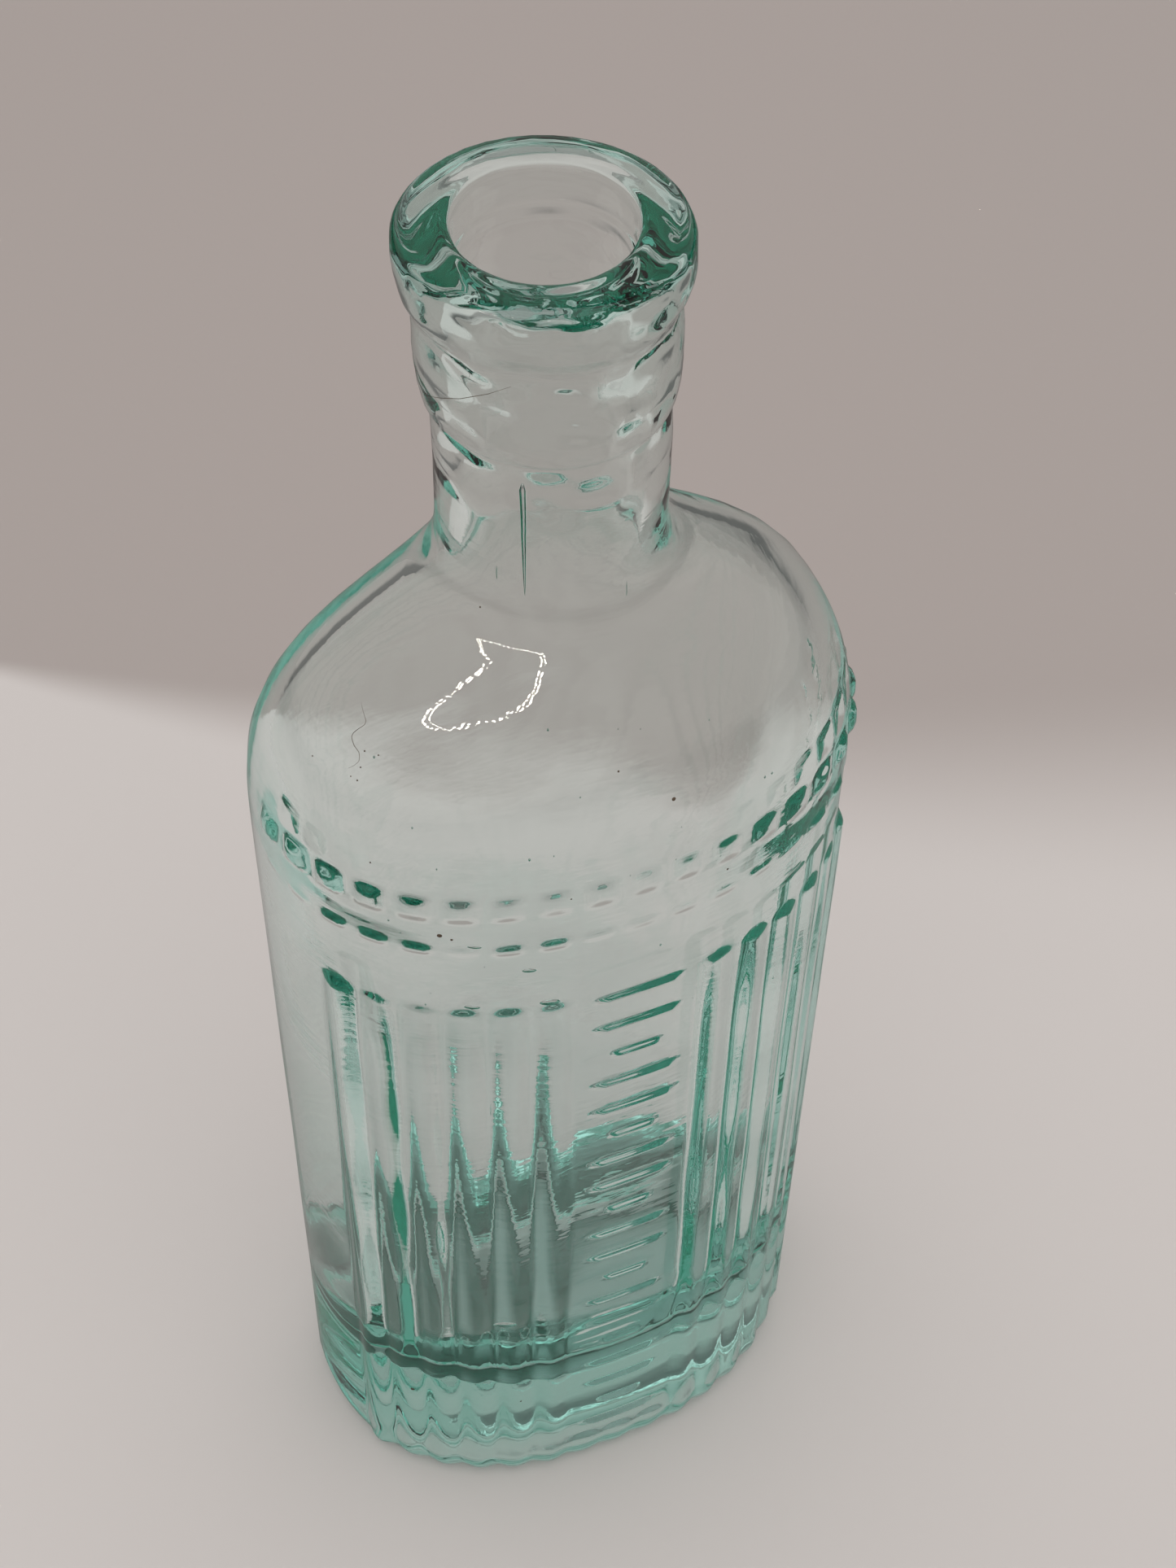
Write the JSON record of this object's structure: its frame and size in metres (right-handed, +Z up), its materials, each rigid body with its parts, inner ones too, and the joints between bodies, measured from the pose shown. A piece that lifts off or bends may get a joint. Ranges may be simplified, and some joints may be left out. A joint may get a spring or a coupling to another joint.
{
  "type": "poison bottle",
  "caption": "Tall moulded glass poison bottle with a bowed ribbed front, a panel of raised bars, domed shoulders, a straight neck and a collared lip.",
  "frame": {"origin": "under the middle of the base, on the surface that the bottle stands on", "axes": "+Z up through the mouth, -Y out of the bowed ribbed front, +X to the right seen from the front"},
  "size_m": [0.0707, 0.043, 0.2],
  "materials": {
    "glass": "clear aqua moulded glass, slightly wavy, with seeds"
  },
  "bodies": {
    "root": {"bottle": "glass"}
  },
  "joints": []
}
